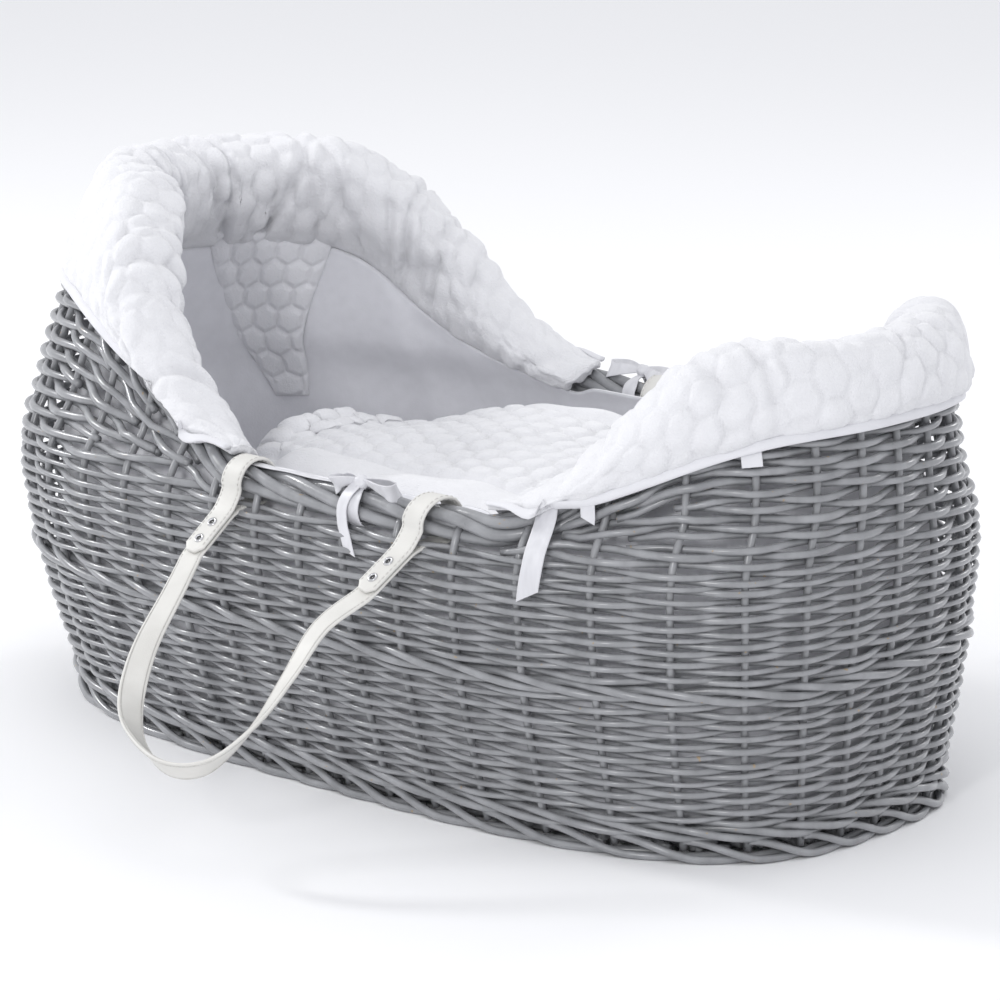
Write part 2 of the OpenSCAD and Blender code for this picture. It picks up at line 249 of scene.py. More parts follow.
def wander(t, size, waves=5, turns=9):
    """Smooth random drift of about that size, as a function of the turn."""
    total = np.zeros(np.shape(t))
    for _ in range(waves):
        total += np.sin(2 * np.pi * (rng.integers(1, turns) * t + rng.random()))
    return total * size / math.sqrt(waves / 2)


# ---------------------------------------------------------------- materials

def new_material(name):
    material = bpy.data.materials.new(name)
    material.use_nodes = True
    nodes = material.node_tree.nodes
    return material, nodes, material.node_tree.links, nodes["Principled BSDF"]


def noise(nodes, links, scale, detail=3.0, stretch=None):
    """Noise texture on object coordinates, squeezed along the axes by stretch."""
    coords = nodes.new("ShaderNodeTexCoord")
    texture = nodes.new("ShaderNodeTexNoise")
    texture.inputs["Scale"].default_value = scale
    texture.inputs["Detail"].default_value = detail
    if stretch:
        mapping = nodes.new("ShaderNodeMapping")
        mapping.inputs["Scale"].default_value = stretch
        links.new(coords.outputs["Object"], mapping.inputs["Vector"])
        links.new(mapping.outputs["Vector"], texture.inputs["Vector"])
    else:
        links.new(coords.outputs["Object"], texture.inputs["Vector"])
    return texture


def ramp(nodes, links, source, stops):
    """Colours at positions along a texture's value."""
    node = nodes.new("ShaderNodeValToRGB")
    node.color_ramp.elements[0].position, node.color_ramp.elements[0].color = stops[0][0], (*stops[0][1], 1)
    node.color_ramp.elements[1].position, node.color_ramp.elements[1].color = stops[-1][0], (*stops[-1][1], 1)
    for position, colour in stops[1:-1]:
        node.color_ramp.elements.new(position).color = (*colour, 1)
    links.new(source, node.inputs["Fac"])
    return node.outputs["Color"]


def bump(nodes, links, shader, height, strength, distance):
    node = nodes.new("ShaderNodeBump")
    node.inputs["Strength"].default_value = strength
    node.inputs["Distance"].default_value = distance
    links.new(height, node.inputs["Height"])
    links.new(node.outputs["Normal"], shader.inputs["Normal"])


def painted_willow():
    """Glossy grey paint over willow, thin enough to leave a few bare tan spots."""
    material, nodes, links, shader = new_material("painted_willow")
    tone = noise(nodes, links, 60)
    grey = ramp(nodes, links, tone.outputs["Fac"],
                [(0.3, (0.225, 0.229, 0.240)), (0.7, (0.330, 0.335, 0.350))])
    spots = noise(nodes, links, 210, detail=1.0)
    bare = nodes.new("ShaderNodeMapRange")
    bare.inputs["From Min"].default_value = 0.76
    bare.inputs["From Max"].default_value = 0.80
    links.new(spots.outputs["Fac"], bare.inputs["Value"])
    mix = nodes.new("ShaderNodeMix")
    mix.data_type = "RGBA"
    mix.inputs["B"].default_value = (0.36, 0.27, 0.17, 1)
    links.new(bare.outputs["Result"], mix.inputs["Factor"])
    links.new(grey, mix.inputs["A"])
    links.new(mix.outputs["Result"], shader.inputs["Base Color"])
    gloss = noise(nodes, links, 120)
    spread = nodes.new("ShaderNodeMapRange")
    spread.inputs["To Min"].default_value = 0.22
    spread.inputs["To Max"].default_value = 0.42
    links.new(gloss.outputs["Fac"], spread.inputs["Value"])
    links.new(spread.outputs["Result"], shader.inputs["Roughness"])
    shader.inputs["Coat Weight"].default_value = 0.5
    shader.inputs["Coat Roughness"].default_value = 0.16
    bark = noise(nodes, links, 420, detail=4.0)
    bump(nodes, links, shader, bark.outputs["Fac"], 0.35, 0.0006)
    return material


def plush(name, colour, pile):
    """Short soft pile: broken up at the scale of the tufts, with painted shade darkening its grooves and
    other hollows, pale at the edges.
    """
    material, nodes, links, shader = new_material(name)
    tone = noise(nodes, links, 90, detail=2.0)
    darker = tuple(c * 0.955 for c in colour)
    pile_tone = ramp(nodes, links, tone.outputs["Fac"], [(0.3, darker), (0.7, colour)])
    # Painted shade: ambient occlusion darkens the colour in the grooves between the hexagons and in other
    # hollows.
    grooves = nodes.new("ShaderNodeAmbientOcclusion")
    grooves.inputs["Distance"].default_value = 0.012
    grooves.samples = 8
    shade = nodes.new("ShaderNodeMapRange")
    shade.inputs["From Min"].default_value = 0.35
    shade.inputs["From Max"].default_value = 0.95
    shade.inputs["To Min"].default_value = 0.84
    links.new(grooves.outputs["AO"], shade.inputs["Value"])
    mix = nodes.new("ShaderNodeMix")
    mix.data_type = "RGBA"
    mix.blend_type = "MULTIPLY"
    mix.inputs["Factor"].default_value = 1.0
    links.new(pile_tone, mix.inputs["A"])
    links.new(shade.outputs["Result"], mix.inputs["B"])
    links.new(mix.outputs["Result"], shader.inputs["Base Color"])
    shader.inputs["Roughness"].default_value = 0.95
    shader.inputs["Sheen Weight"].default_value = 0.5
    shader.inputs["Sheen Roughness"].default_value = 0.6
    shader.inputs["Specular IOR Level"].default_value = 0.12
    tufts = noise(nodes, links, 620, detail=3.0)
    bump(nodes, links, shader, tufts.outputs["Fac"], pile, 0.0016)
    return material


def woven_cloth(name, colour, threads, sheen):
    """Plain fabric with a fine crossing weave."""
    material, nodes, links, shader = new_material(name)
    tone = noise(nodes, links, 35)
    darker = tuple(c * 0.95 for c in colour)
    shades = ramp(nodes, links, tone.outputs["Fac"], [(0.3, darker), (0.7, colour)])
    links.new(shades, shader.inputs["Base Color"])
    shader.inputs["Roughness"].default_value = 0.85
    shader.inputs["Sheen Weight"].default_value = sheen
    shader.inputs["Specular IOR Level"].default_value = 0.2
    weave = noise(nodes, links, threads, detail=1.0, stretch=(1, 1, 2.5))
    bump(nodes, links, shader, weave.outputs["Fac"], 0.25, 0.0004)
    return material


def satin_ribbon():
    """Satin: soft streaks along the weave and a broad highlight."""
    material, nodes, links, shader = new_material("satin_ribbon")
    streaks = noise(nodes, links, 140, detail=2.0, stretch=(1, 1, 0.15))
    tones = [(0.3, (0.62, 0.62, 0.65)), (0.7, (0.72, 0.72, 0.75))]
    shades = ramp(nodes, links, streaks.outputs["Fac"], tones)
    links.new(shades, shader.inputs["Base Color"])
    shader.inputs["Roughness"].default_value = 0.38
    shader.inputs["Sheen Weight"].default_value = 0.25
    shader.inputs["Anisotropic"].default_value = 0.5
    bump(nodes, links, shader, streaks.outputs["Fac"], 0.15, 0.0005)
    return material


def leatherette():
    """Coated leatherette with a fine pebbled grain."""
    material, nodes, links, shader = new_material("leatherette")
    tone = noise(nodes, links, 40)
    links.new(ramp(nodes, links, tone.outputs["Fac"], [(0.3, (0.64, 0.63, 0.60)), (0.7, (0.71, 0.70, 0.67))]),
              shader.inputs["Base Color"])
    shader.inputs["Roughness"].default_value = 0.48
    coords = nodes.new("ShaderNodeTexCoord")
    grain = nodes.new("ShaderNodeTexVoronoi")
    grain.inputs["Scale"].default_value = 900
    links.new(coords.outputs["Object"], grain.inputs["Vector"])
    bump(nodes, links, shader, grain.outputs["Distance"], 0.22, 0.0003)
    return material


def thread():
    material, nodes, links, shader = new_material("thread")
    tone = noise(nodes, links, 900)
    links.new(ramp(nodes, links, tone.outputs["Fac"], [(0.3, (0.58, 0.57, 0.54)), (0.7, (0.72, 0.71, 0.69))]),
              shader.inputs["Base Color"])
    shader.inputs["Roughness"].default_value = 0.7
    return material


def bare_steel(name, tone):
    """Polished metal with a faint haze."""
    material, nodes, links, shader = new_material(name)
    haze = noise(nodes, links, 500)
    spread = nodes.new("ShaderNodeMapRange")
    spread.inputs["To Min"].default_value = 0.14
    spread.inputs["To Max"].default_value = 0.30
    links.new(haze.outputs["Fac"], spread.inputs["Value"])
    links.new(spread.outputs["Result"], shader.inputs["Roughness"])
    shader.inputs["Base Color"].default_value = (tone, tone, tone * 1.02, 1)
    shader.inputs["Metallic"].default_value = 1.0
    return material


willow = painted_willow()
white_plush = plush("white_plush", (0.79, 0.79, 0.815), 0.55)
# The lining and its dimpled head panel get a paler white than the white plush of the rolls: painted light,
# standing in for light bounced about inside the basket.
lining_cloth = plush("lining_cloth", (0.86, 0.86, 0.90), 0.12)
lining_plush = plush("lining_plush", (0.88, 0.88, 0.91), 0.45)
cotton = woven_cloth("cotton", (0.76, 0.76, 0.78), 900, 0.1)
tape = woven_cloth("tape", (0.76, 0.76, 0.79), 1100, 0.2)
satin = satin_ribbon()
strap_white = leatherette()
stitch_white = thread()
steel = bare_steel("polished_steel", 0.60)
# A near-black metal for the discs that fill the eyelet holes: painted shadow standing in for the shade down
# each hole.
painted_hole_shadow = bare_steel("painted_hole_shadow", 0.10)


# ---------------------------------------------------------------- wicker

def rod_size():
    return 0.00235 * rng.uniform(0.88, 1.1)


def weave_row(bundle, z, parity, steps=8):
    """One rod of plain weave that passes in front of every second stake."""
    t = np.arange(stake_n * steps) / (stake_n * steps)
    swing = 0.0046 * np.cos(np.pi * (t * stake_n + parity))
    inside = wall_t / 2 + swing + wander(t, 0.0003, turns=20)
    drift = wander(t, 0.0007, turns=16)
    radius = rod_size() * (1 + wander(t, 0.05, turns=12))
    bundle.rod(skin(t, z + drift, inside), radius, closed=True)


def level_weave(name, low, high, rows, node):
    bundle = Bundle()
    for row in range(rows):
        weave_row(bundle, low + (high - low) * (row + 0.5) / rows, row % 2)
    return bundle.piece(name, willow, "wicker", stands_for=[node] if node else [])


def wale(name, low, high, node, rods=3, steps=8):
    """Rods that each pass in front of two stakes and behind one, so they twist into a rope."""
    bundle = Bundle()
    t = np.arange(stake_n * steps) / (stake_n * steps)
    middle = (low + high) / 2
    for rod in range(rods):
        turn = 2 * np.pi * (t * stake_n + rod) / rods
        inside = wall_t / 2 - 0.001 + 0.0058 * np.cos(turn)
        z = middle + 0.0040 * np.sin(turn) + wander(t, 0.0003)
        bundle.rod(skin(t, z, inside), 0.0030, closed=True)
    return bundle.piece(name, willow, "wicker", stands_for=[node] if node else [])


def stakes():
    bundle = Bundle()
    for k in range(stake_n):
        t = k / stake_n
        z = np.linspace(0.008, rim_z(t) - border_r, 36)
        lean = wander(z / 0.4, 0.0006, turns=3)
        bundle.rod(skin(t, z, wall_t / 2) + np.stack([lean, 0 * z, 0 * z], -1), stake_d / 2, up=(1, 0.3, 0))
    return bundle.piece("willow_stakes", willow, "wicker", stands_for=["stakes"])


def packing(name, start, end, pairs, pitch, thick, node, steps=8):
    """Rows that fan out towards a raised end, in pairs that turn back where the rim gets too low."""
    bundle = Bundle()
    t = np.arange(int(start * stake_n * steps), int(end * stake_n * steps) + 1) / (stake_n * steps)
    room = rim_z(t) - 2 * border_r + 0.003 - weave_high.z
    rank = np.argsort(np.argsort([(pair * 0.618034) % 1 for pair in range(pairs)]))
    live = np.repeat(room[None, :] / (2 * pitch) > rank[:, None] + 0.45, 2, axis=0)
    share = (np.cumsum(live, 0) - 0.5) / np.maximum(live.sum(0), 1)
    smooth = np.ones(9) / 9
    for row in range(2 * pairs):
        level = np.convolve(np.pad(share[row], 4, mode="edge"), smooth, mode="valid")
        runs = np.split(np.arange(len(t)), np.where(np.diff(live[row].astype(int)) != 0)[0] + 1)
        for run in runs:
            if not live[row, run[0]] or len(run) < 2 * steps:
                continue
            turn = t[run]
            ends = np.minimum(np.arange(len(run)), np.arange(len(run))[::-1])
            tuck = 0.0050 * (1 - rise(ends, 0, steps * 0.7))
            swing = 0.0048 * np.cos(np.pi * (turn * stake_n + row)) + tuck
            z = weave_high.z + np.clip(level[run], 0.02, 0.98) * room[run] + wander(turn, 0.0008, turns=20)
            radius = thick / 2 * rng.uniform(0.9, 1.1) * (1 + wander(turn, 0.04, turns=14))
            bundle.rod(skin(turn, z, wall_t / 2 + swing), radius)
    return bundle.piece(name, willow, "wicker", stands_for=[node])


def rim_rope():
    """Border of five thick rods that twist slowly round its middle."""
    bundle = Bundle()
    t = np.arange(720) / 720
    twists = 7
    for rod in range(5):
        turn = 2 * np.pi * (twists * t + rod / 5) + wander(t, 0.16, turns=20)
        reach = 0.0078 + wander(t, 0.0004, turns=30)
        height = rim_z(t) - border_r + reach * 1.04 * np.sin(turn)
        path = skin(t, rim_z(t) - border_r, border_inside + reach * np.cos(turn))
        path[:, 2] = height
        bundle.rod(path, 0.0048 * rng.uniform(0.95, 1.04), closed=True)
    bundle.rod(skin(t, rim_z(t) - border_r, border_inside), 0.0050, closed=True)
    return bundle.piece("rim_rods", willow, "wicker", stands_for=["rim_border"])


def floor_rope():
    """Border round the floor: each rod comes down from the wall, runs along it and tucks in."""
    bundle = Bundle()
    count = stake_n
    for k in range(count):
        u = np.linspace(0, 2.7, 40)
        t = (k + u) / count
        z = 0.0035 + 0.0125 * (1 - rise(u, 0, 1.2)) + 0.0006 * np.sin(3 * u)
        inside = 0.004 - 0.0055 * rise(u, 0, 0.9) + 0.0095 * rise(u, 1.1, 2.6)
        bundle.rod(skin(t, z, inside), 0.0031 * rng.uniform(0.93, 1.07))
    return bundle.piece("floor_border_rods", willow, "wicker", stands_for=["foot_border"])


def floor_weave():
    """Rods woven lengthways over and under the base sticks."""
    bundle = Bundle()
    spacing = 0.062
    inner = 0.013
    for x in np.arange(-5, 6) * spacing:
        y = np.interp(-abs(x), -skin(np.linspace(0, 0.25, 400), 0.0095, 0.012)[:, 0],
                      skin(np.linspace(0, 0.25, 400), 0.0095, 0.012)[:, 1])
        across = np.linspace(-y, y, 12)
        bundle.rod(np.stack([0 * across + x, across, 0 * across + 0.0095], -1), 0.0045)
    reach = skin(0.25, 0.0095, inner)[1]
    edge = skin(np.linspace(0, 0.25, 400), 0.0095, inner)
    rows = int(2 * reach / 0.0062)
    for row in range(rows):
        y = -reach + 2 * reach * (row + 0.5) / rows
        x_end = np.interp(abs(y), edge[:, 1], edge[:, 0])
        x = np.linspace(-x_end, x_end, int(x_end / 0.0045))
        z = 0.0095 + 0.0036 * np.cos(np.pi * (x / spacing + row % 2))
        bundle.rod(np.stack([x, y + 0 * x + wander(x, 0.0003), z], -1), 0.0027, sides=6)
    return bundle.piece("floor_weave", willow, "wicker", stands_for=["base_weave", "base_sticks"])


def wicker():
    stakes()
    wale("foot_wale", 0.017, 0.027, None)
    level_weave("lower_rows", 0.027, wale_low.z, 20, "lower_weave")
    wale("middle_wale_rods", wale_low.z, wale_high.z, "middle_wale")
    level_weave("upper_rows", wale_high.z, weave_high.z, 18, "upper_weave")
    packing("head_rows", 0.27, 0.73, 12, 0.0070, 0.0066, "head_packing")
    packing("foot_rows", 0.82, 1.18, 9, 0.0063, 0.0058, "foot_packing")
    rim_rope()
    floor_rope()
    floor_weave()


# ---------------------------------------------------------------- padded fabric

def dimples(a, b, cell):
    """Height of raised hexagons, from 0 in the grooves to 1 on top, at fabric coordinates a and b."""
    wide = cell * math.sqrt(3)
    best = np.full(np.shape(a), 1e9)
    for shift in (0, 0.5):
        ca = (np.round(a / cell - shift) + shift) * cell
        cb = (np.round(b / wide - shift) + shift) * wide
        da = np.abs(a - ca)
        db = np.abs(b - cb)
        best = np.minimum(best, np.maximum(da, da / 2 + db * math.sqrt(3) / 2))
    share = best / (cell / 2)
    return 0.45 * (1 - share ** 3) + 0.55 * (1 - rise(share, 0.66, 1.0))


def swells(a, b, size, seed, waves=9):
    """Smooth lumps about size across, between -1 and 1."""
    local = np.random.default_rng(seed)
    total = np.zeros(np.shape(a))
    for _ in range(waves):
        angle = local.uniform(0, 2 * np.pi)
        pitch = size * local.uniform(0.7, 1.5)
        total += np.sin(2 * np.pi * ((a * math.cos(angle) + b * math.sin(angle)) / pitch + local.random()))
    return total / waves * 2


def creases(a, b, found):
    """Sunk fold lines, each (a, b, angle, length, width, depth)."""
    total = np.zeros(np.shape(a))
    for ca, cb, angle, length, width, depth in found:
        along_line = (a - ca) * math.cos(angle) + (b - cb) * math.sin(angle)
        across = -(a - ca) * math.sin(angle) + (b - cb) * math.cos(angle)
        bend = across - 0.12 * along_line ** 2 / length
        total -= depth * np.exp(-(bend / width) ** 2) * np.exp(-(along_line / length * 2) ** 4)
        total += depth * 0.45 * np.exp(-((np.abs(bend) - 2.2 * width) / (1.4 * width)) ** 2) \
            * np.exp(-(along_line / length * 2) ** 4)
    return total


def grid_normals(points, wrap_rows=False, wrap_cols=False):
    if wrap_rows:
        down = np.roll(points, -1, 0) - np.roll(points, 1, 0)
    else:
        down = np.gradient(points, axis=0)
    if wrap_cols:
        across = np.roll(points, -1, 1) - np.roll(points, 1, 1)
    else:
        across = np.gradient(points, axis=1)
    return unit(np.cross(across, down))


def settle(points, push, cap, pressure, spare, frames=20):
    """A grid after a short cloth simulation: spare cloth between held edges, under pressure towards push."""
    across = points[:-1, 1:] - points[:-1, :-1]
    down = points[1:, :-1] - points[:-1, :-1]
    if (np.cross(across, down) * push[:-1, :-1]).sum() < 0:
        return settle(points[:, ::-1], push[:, ::-1], cap, pressure, spare, frames)[:, ::-1]
    scene = bpy.context.scene
    rows, cols = points.shape[:2]
    held = np.ones((rows, cols), bool)
    held[1:-1, 1:-1] = False
    mesh = bpy.data.meshes.new("settling")
    mesh.from_pydata(points.reshape(-1, 3).tolist(), [], grid_faces(rows, cols))
    cloth_piece = bpy.data.objects.new("settling", mesh)
    scene.collection.objects.link(cloth_piece)
    pins = cloth_piece.vertex_groups.new(name="held")
    pins.add(np.flatnonzero(held).tolist(), 1.0, "REPLACE")
    cloth = cloth_piece.modifiers.new("cloth", "CLOTH")
    cloth.settings.quality = 5
    cloth.settings.mass = 0.2
    cloth.settings.tension_stiffness = 12
    cloth.settings.compression_stiffness = 10
    cloth.settings.shear_stiffness = 5
    cloth.settings.bending_stiffness = 0.3
    cloth.settings.use_pressure = True
    cloth.settings.uniform_pressure_force = pressure
    cloth.settings.shrink_min = -spare
    cloth.settings.effector_weights.gravity = 0
    cloth.settings.vertex_group_mass = "held"
    cloth.point_cache.frame_start = 1
    cloth.point_cache.frame_end = frames
    for step in range(1, frames + 1):
        scene.frame_set(step)
    settled = cloth_piece.evaluated_get(bpy.context.evaluated_depsgraph_get()).to_mesh()
    found = np.empty(rows * cols * 3)
    settled.vertices.foreach_get("co", found)
    bpy.data.objects.remove(cloth_piece)
    bpy.data.meshes.remove(mesh)
    scene.frame_set(1)
    moved = found.reshape(points.shape) - points
    size = np.linalg.norm(moved, axis=-1, keepdims=True)
    return points + moved * np.minimum(1, cap / np.maximum(size, 1e-9))


def finer(grid, rows, cols):
    """The same grid surface with more rows and columns."""
    wide = through(grid, np.linspace(0, 1, cols)[None, :] * np.ones((len(grid), 1)))
    tall = np.swapaxes(wide, 0, 1)
    return np.swapaxes(through(tall, np.linspace(0, 1, rows)[None, :] * np.ones((cols, 1))), 0, 1)


def facing(normals, outward):
    """The normals, turned round if they point against the outward directions."""
    return normals if (normals * outward).sum() > 0 else -normals


def arc(points, axis):
    """Mean distance along a grid's rows or columns from its start."""
    steps = np.linalg.norm(np.diff(points, axis=axis), axis=-1).mean(1 - axis)
    return np.concatenate([[0], np.cumsum(steps)])


def through(controls, u):
    """Smooth curve through control points at shares u of their count. Controls are (rows, n, 3)."""
    n = controls.shape[1]
    place = np.clip(u, 0, 1) * (n - 1)
    i = np.clip(place.astype(int), 0, n - 2)
    f = (place - i)[..., None]
    rows = np.arange(controls.shape[0])[:, None]
    p0 = controls[rows, np.maximum(i - 1, 0)]
    p1 = controls[rows, i]
    p2 = controls[rows, i + 1]
    p3 = controls[rows, np.minimum(i + 2, n - 1)]
    return 0.5 * (2 * p1 + (p2 - p0) * f + (2 * p0 - 5 * p1 + 4 * p2 - p3) * f ** 2
                  + (3 * p1 - p0 - 3 * p2 + p3) * f ** 3)


def roll_paths(t, pad):
    """Outer and inner paths of a roll over the rim, from its outer hem to its seam with the lining."""
    rz, hem, seam = rim_z(t), hem_z(t), seam_z(t)
    middle = (rz + hem) / 2
    outer = [(-0.0035 - pad * 0.3, hem), (-0.004 - pad * 0.8, middle), (-0.004 - pad * 0.75, rz - 0.002),
             (0.002 - pad * 0.3, rz + 0.003 + pad * 0.8), (0.013 + 0 * pad, rz + 0.004 + pad),
             (0.028 + 0 * pad, rz + 0.002 + pad * 0.6), (0.038 + pad * 0.2, rz - 0.006),
             (0.040 + pad * 0.2, (rz + seam) / 2), (0.040 + 0 * pad, seam)]
    inner = [(-0.003, hem), (-0.003, middle), (-0.0025, rz - 0.008), (0.004, rz + 0.0012),
             (0.013, rz + 0.0018), (0.022, rz + 0.0012), (0.027, rz - 0.010), (0.031, (rz + seam) / 2),
             (0.035, seam)]
    return [np.stack([over(t, z, inside) for inside, z in side], 1) for side in (outer, inner)]


def roll_share(edge, run):
    """Shares across a roll at which it starts and stops, so that it narrows to a strip at both its ends."""
    return 0.46 * (1 - rise(edge, 0.0, run)), 1 - 0.34 * (1 - rise(edge, 0.0, 0.010))


def padded_roll(name, start, end, taper, fold_count, seed, node):
    """Padded roll that wraps over the raised rim, with gathers across it and sewn hexagons."""
    local = np.random.default_rng(seed)
    half = 56
    t = np.linspace(start, end, int((end - start) * 2.3 / 0.0022))
    coarse = np.linspace(start, end, int((end - start) * 2.3 / 0.0085))

    def shell(turns, count):
        edge = np.minimum(turns - start, end - turns)
        full = 0.30 + 0.70 * rise(edge, 0, 0.07)
        outer, inner = roll_paths(turns, 0.010 * full)
        first, last = roll_share(edge, taper)
        u = first[:, None] + (last - first)[:, None] * np.linspace(0, 1, count)[None, :]
        return through(outer, u), through(inner, u), full

    soft, base, _ = shell(coarse, 26)
    normals = facing(grid_normals(soft), soft - base)
    moved = settle(soft, normals, 0.011, pressure=4.0, spare=0.025) - soft
    inward = np.minimum((moved * normals).sum(-1) + 0.4 * np.linalg.norm(soft - base, axis=-1), 0)
    ease = rise(np.minimum(coarse - start, end - coarse), 0.01, 0.07)
    moved = (moved - normals * inward[..., None]) * ease[:, None, None]

    top, under, full = shell(t, half)
    share = np.linspace(0, 1, half)[None, :]
    near_hem = np.sin(np.pi / 2 * np.clip(share / 0.10, 0, 1))
    near_seam = np.sin(np.pi / 2 * np.clip((1 - share) / 0.07, 0, 1))
    puff = 0.12 + 0.88 * (near_hem * near_seam) ** 0.6
    top = under + (top + finer(moved, len(t), half) - under) * puff[..., None]
    a = arc(top, 0)[:, None] + 0 * share
    b = arc(top, 1)[None, :] * np.ones((len(t), 1))
    normals = facing(grid_normals(top), top - under)
    wobble_a = a + 0.004 * swells(a, b, 0.09, seed + 1)
    wobble_b = b + 0.004 * swells(a, b, 0.08, seed + 2)
    hexes = dimples(wobble_b, wobble_a, dimple) * (0.75 + 0.25 * swells(a, b, 0.12, seed + 3).clip(-1, 1))
    length = a.max()
    width = b.max()
    folds = []
    for k in range(fold_count):
        at = length * (k + local.uniform(0.2, 0.8)) / fold_count
        folds.append((at, width * local.uniform(0.45, 0.85), math.pi / 2 + local.normal(0, 0.3),
                      width * local.uniform(0.5, 1.0), local.uniform(0.0035, 0.0060),
                      local.uniform(0.0025, 0.0060)))
    lift = 0.0034 * hexes + 0.0024 * swells(a, b, 0.055, seed + 4) + creases(a, b, folds)
    calm = puff * full[:, None]
    top = top + normals * (lift * calm)[..., None]
    ring = np.concatenate([top, under[:, ::-1]], 1)
    faces = grid_faces(len(t), 2 * half, wrap_cols=True)
    faces.append(list(range(2 * half))[::-1])
    faces.append([(len(t) - 1) * 2 * half + j for j in range(2 * half)])
    piece = add_piece(name, ring, faces, white_plush, "dimple_plush", stands_for=[node])
    return piece


def hem_tape(name, start, end, taper, node):
    """Folded tape along a roll's outer hem, which crosses the rim where the roll ends."""
    t = np.linspace(start, end, int((end - start) * 2.3 / 0.004))
    edge = np.minimum(t - start, end - t)
    u0 = roll_share(edge, taper)[0]
    outer, inner = roll_paths(t, np.full(len(t), 0.004))
    rail = through(outer, u0[:, None])[:, 0]
    beyond = through(inner, u0[:, None])[:, 0]
    ahead = through(outer, u0[:, None] + 0.03)[:, 0]
    down = unit(rail - ahead)
    out = unit(rail - beyond)
    sides = 12
    angle = 2 * np.pi * np.arange(sides) / sides
    half_height = 0.0040
    half_thick = 0.0019
    ring = down[:, None] * (half_height * np.cos(angle))[:, None]
    ring = ring + out[:, None] * (half_thick * np.sin(angle))[:, None]
    points = rail[:, None] + ring + down[:, None] * 0.002
    faces = grid_faces(len(t), sides, wrap_cols=True)
    faces.append(list(range(sides))[::-1])
    faces.append([(len(t) - 1) * sides + j for j in range(sides)])
    return add_piece(name, points, faces, tape, "binding", stands_for=[node])


def lining():
    """Lining that hangs inside the wicker in soft vertical folds."""
    t = np.arange(840) / 840
    inside_roll = ((t > hood_from) & (t < 1 - hood_from)) | (t < foot_to) | (t > 1 + foot_from)
    top = np.where(inside_roll, seam_z(t), rim_h - 0.007)
    for _ in range(30):
        top = (np.roll(top, 1) + 2 * top + np.roll(top, -1)) / 4
    low = 0.018
    rows = 64
    share = np.linspace(0, 1, rows)[:, None]
    z = top[None, :] + (low - top[None, :]) * share
    back = skin(t, z, lining_inside(z))
    front = skin(t, z, lining_inside(z) + 0.003)
    a = np.broadcast_to(arc(front, 1), z.shape)
    b = np.broadcast_to(arc(front, 0)[:, None], z.shape)
    normals = facing(grid_normals(front, wrap_cols=True), front - back)
    folds = 0.0030 * swells(a, b * 0.25, 0.16, 71) + 0.0012 * swells(a, b * 0.5, 0.05, 72)
    front = front + normals * (folds * rise(share, 0, 0.05) * (1 - rise(share, 0.95, 1.0)))[..., None]
    points = np.concatenate([front, back[::-1]])
    faces = grid_faces(2 * rows, len(t), wrap_rows=True, wrap_cols=True)
    return add_piece("lining_walls", points, faces, lining_cloth, "lining", stands_for=["liner"])


def lining_inside(z):
    """Depth of the lining's outer side within the wicker's skin."""
    return wall_t + 0.0015 + 0.0185 * rise(z, 0.120, 0.205)


def head_panel():
    """Dimpled panel sewn to the lining at the head, wide under the hood and narrow at the quilt."""
    v = np.linspace(0, 1, 110)[:, None]
    u = np.linspace(-1, 1, 90)[None, :]
    z = 0.352 - 0.152 * v
    middle = 0.434 - 0.014 * v
    half = (0.034 - 0.025 * v) * (0.9 + 0.1 * np.cos(np.pi * v))
    t = middle + half * u
    z = np.broadcast_to(z, t.shape)
    back = skin(t, z, lining_inside(z) + 0.0035)
    front = skin(t, z, lining_inside(z) + 0.0055)
    normals = facing(grid_normals(front), front - back)
    a = (t - 0.427) * 2.05
    b = v * 0.160 + 0 * t
    wobble = 0.0015 * swells(a, b, 0.09, 81)
    edge = np.clip((1 - np.abs(u)) / 0.20, 0, 1) * np.clip(v / 0.02, 0, 1) * np.clip((1 - v) / 0.02, 0, 1)
    lift = 0.0030 * dimples(a + wobble, b + wobble, dimple) + 0.0016 * swells(a, b, 0.10, 82)
    front = back + (front - back + normals * lift[..., None]) * np.sqrt(edge)[..., None]
    rows, cols = t.shape
    ring = np.concatenate([front, back[:, ::-1] - normals[:, ::-1] * 0.001], 1)
    faces = grid_faces(rows, 2 * cols, wrap_cols=True)
    piece = add_piece("lining_head_panel", ring, faces, lining_plush, "dimple_plush", stands_for=["liner"])
    return piece


def quilt_middle(u, v, thick):
    """Middle of the quilt's thickness at shares u along and v across it, and its fabric coordinates."""
    low_corner, high_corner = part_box("quilt")
    head = low_corner.x + 0.022
    middle_x = (head + high_corner.x) / 2
    half_l = (high_corner.x - head) / 2
    half_w = (high_corner.y - low_corner.y) / 2
    x = middle_x + half_l * np.sin(u * np.pi / 2 * 0.98)
    power = 2.5
    narrowing = np.clip(1 - np.abs((x - middle_x) / (half_l + 0.006)) ** power, 0, 1) ** (1 / power)
    reach = half_w * narrowing - thick / 2
    drop = high_corner.z - low_corner.z - thick
    corner = np.minimum(0.045, 0.6 * reach)
    flat = reach - corner
    bend = corner * np.pi / 2
    s = np.abs(v) * (flat + bend + drop - corner)
    angle = np.clip((s - flat) / corner, 0, np.pi / 2)
    y = (np.minimum(s, flat) + corner * np.sin(angle)) * np.sign(v)
    z = high_corner.z - thick / 2 - corner * (1 - np.cos(angle)) - np.maximum(s - flat - bend, 0)
    sunk_head = 0.012 * (1 - rise(x, head, head + 0.12))
    high_side = 0.010 * rise(y, -0.06, 0.09) * rise(x, head + 0.05, head + 0.16)
    z = z - (sunk_head - high_side) * (z - low_corner.z) / (high_corner.z - low_corner.z)
    x = np.broadcast_to(x, y.shape)
    a = np.broadcast_to(np.concatenate([[0], np.cumsum(np.abs(np.diff(x[:, 0])))])[:, None], y.shape)
    return np.stack([x, y, z], -1), a, s * np.sign(v), flat


